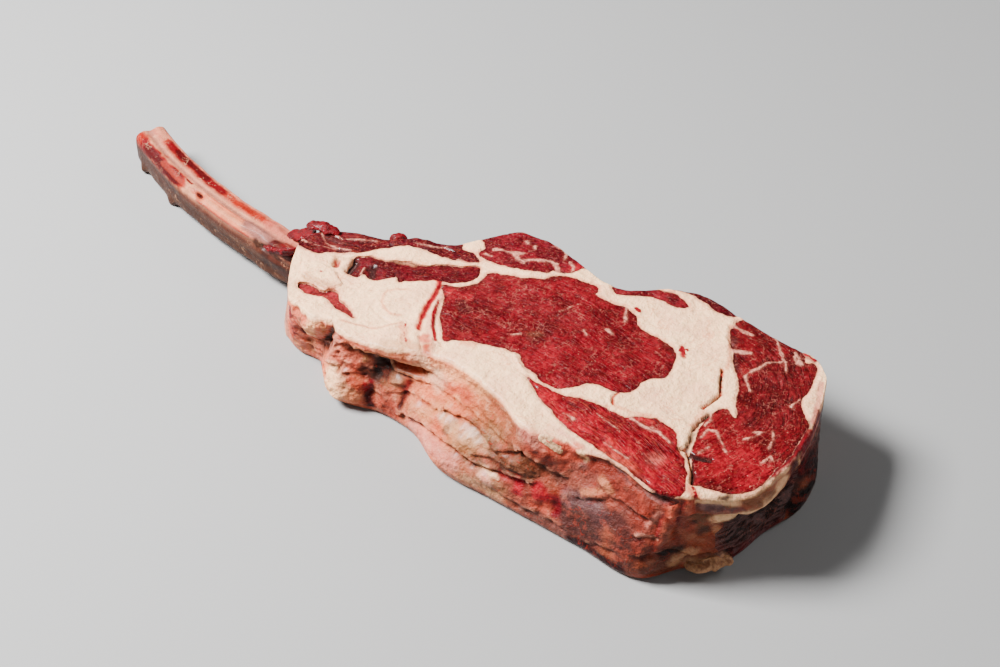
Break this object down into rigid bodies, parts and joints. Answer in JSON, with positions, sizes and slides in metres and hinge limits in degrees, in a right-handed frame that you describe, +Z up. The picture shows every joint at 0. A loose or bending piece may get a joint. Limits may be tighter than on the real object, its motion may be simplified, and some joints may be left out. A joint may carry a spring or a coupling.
{
  "type": "raw tomahawk steak",
  "caption": "Raw long-bone rib steak lying on its lower cut face: marbled red muscles set in creamy fat, a folded outer side, and a curved cleaned rib bone.",
  "frame": {"origin": "middle of the whole steak's box, on the surface that it lies on", "axes": "+X from the sawn end of the rib bone to the far end of the meat, +Z up out of the upper cut face, +Y to the back edge that the bone runs along"},
  "size_m": [0.4586, 0.146, 0.0529],
  "materials": {
    "muscle": "moist raw muscle, satin with wet highlights",
    "fat": "firm creamy fat, satin, with wet membrane on the outer side",
    "bone": "scraped fresh bone, satin"
  },
  "bodies": {
    "root": {"eye_muscle": "muscle", "cap_muscle": "muscle", "flank_muscle": "muscle", "inner_muscle": "muscle", "rib_muscle": "muscle", "lobe_muscle": "muscle", "oval_muscle": "muscle", "edge_muscle": "muscle", "slit_muscle": "muscle", "fat_cover": "fat", "rib_bone": "bone"}
  },
  "joints": []
}
